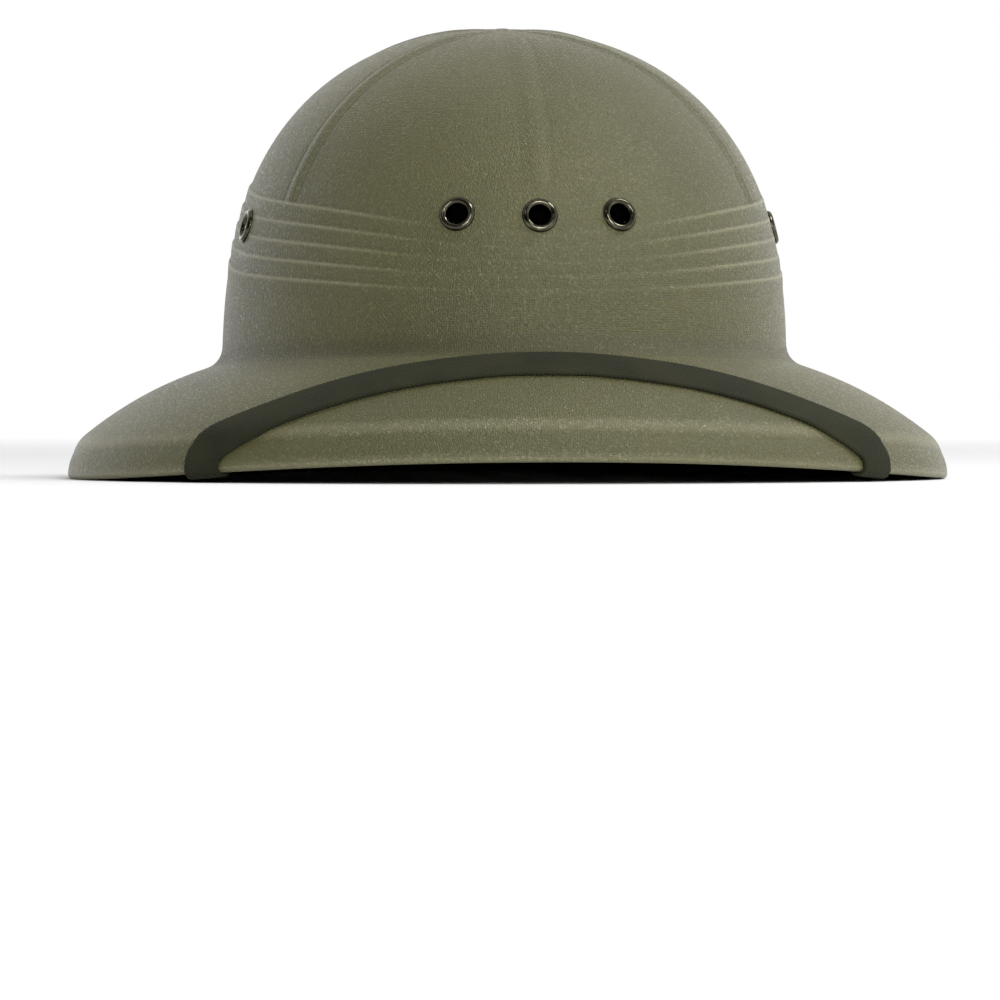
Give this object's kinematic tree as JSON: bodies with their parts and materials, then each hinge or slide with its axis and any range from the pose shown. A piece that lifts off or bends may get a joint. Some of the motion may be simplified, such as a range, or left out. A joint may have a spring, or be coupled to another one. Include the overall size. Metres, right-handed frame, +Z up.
{
  "type": "pith helmet",
  "caption": "Pressed fibre sun helmet with a wide sloping brim, ribbed crown with moulded folds, metal vent eyelets, sweatband and a chin strap drawn up over the visor.",
  "frame": {"origin": "on the plane that the rim stands on, under the middle of the brim's length and width", "axes": "+Z up through the crown, -Y towards the visor (the front), +X towards the wearer's left"},
  "size_m": [0.2998, 0.345, 0.1554],
  "materials": {
    "cloth_shell": "matt olive cloth over pressed fibre, slightly shiny on the pressed folds",
    "sweatband": "black, semi-matt",
    "strap": "dark olive webbing, matt",
    "eyelet": "blackened metal, glossy"
  },
  "bodies": {
    "root": {"shell": "cloth_shell", "sweatband": "sweatband", "chin_strap": "strap", "eyelet_front_right": "eyelet", "eyelet_front_middle": "eyelet", "eyelet_front_left": "eyelet", "eyelet_side_right": "eyelet", "eyelet_side_left": "eyelet", "eyelet_rear_right": "eyelet", "eyelet_rear_middle": "eyelet", "eyelet_rear_left": "eyelet"}
  },
  "joints": []
}
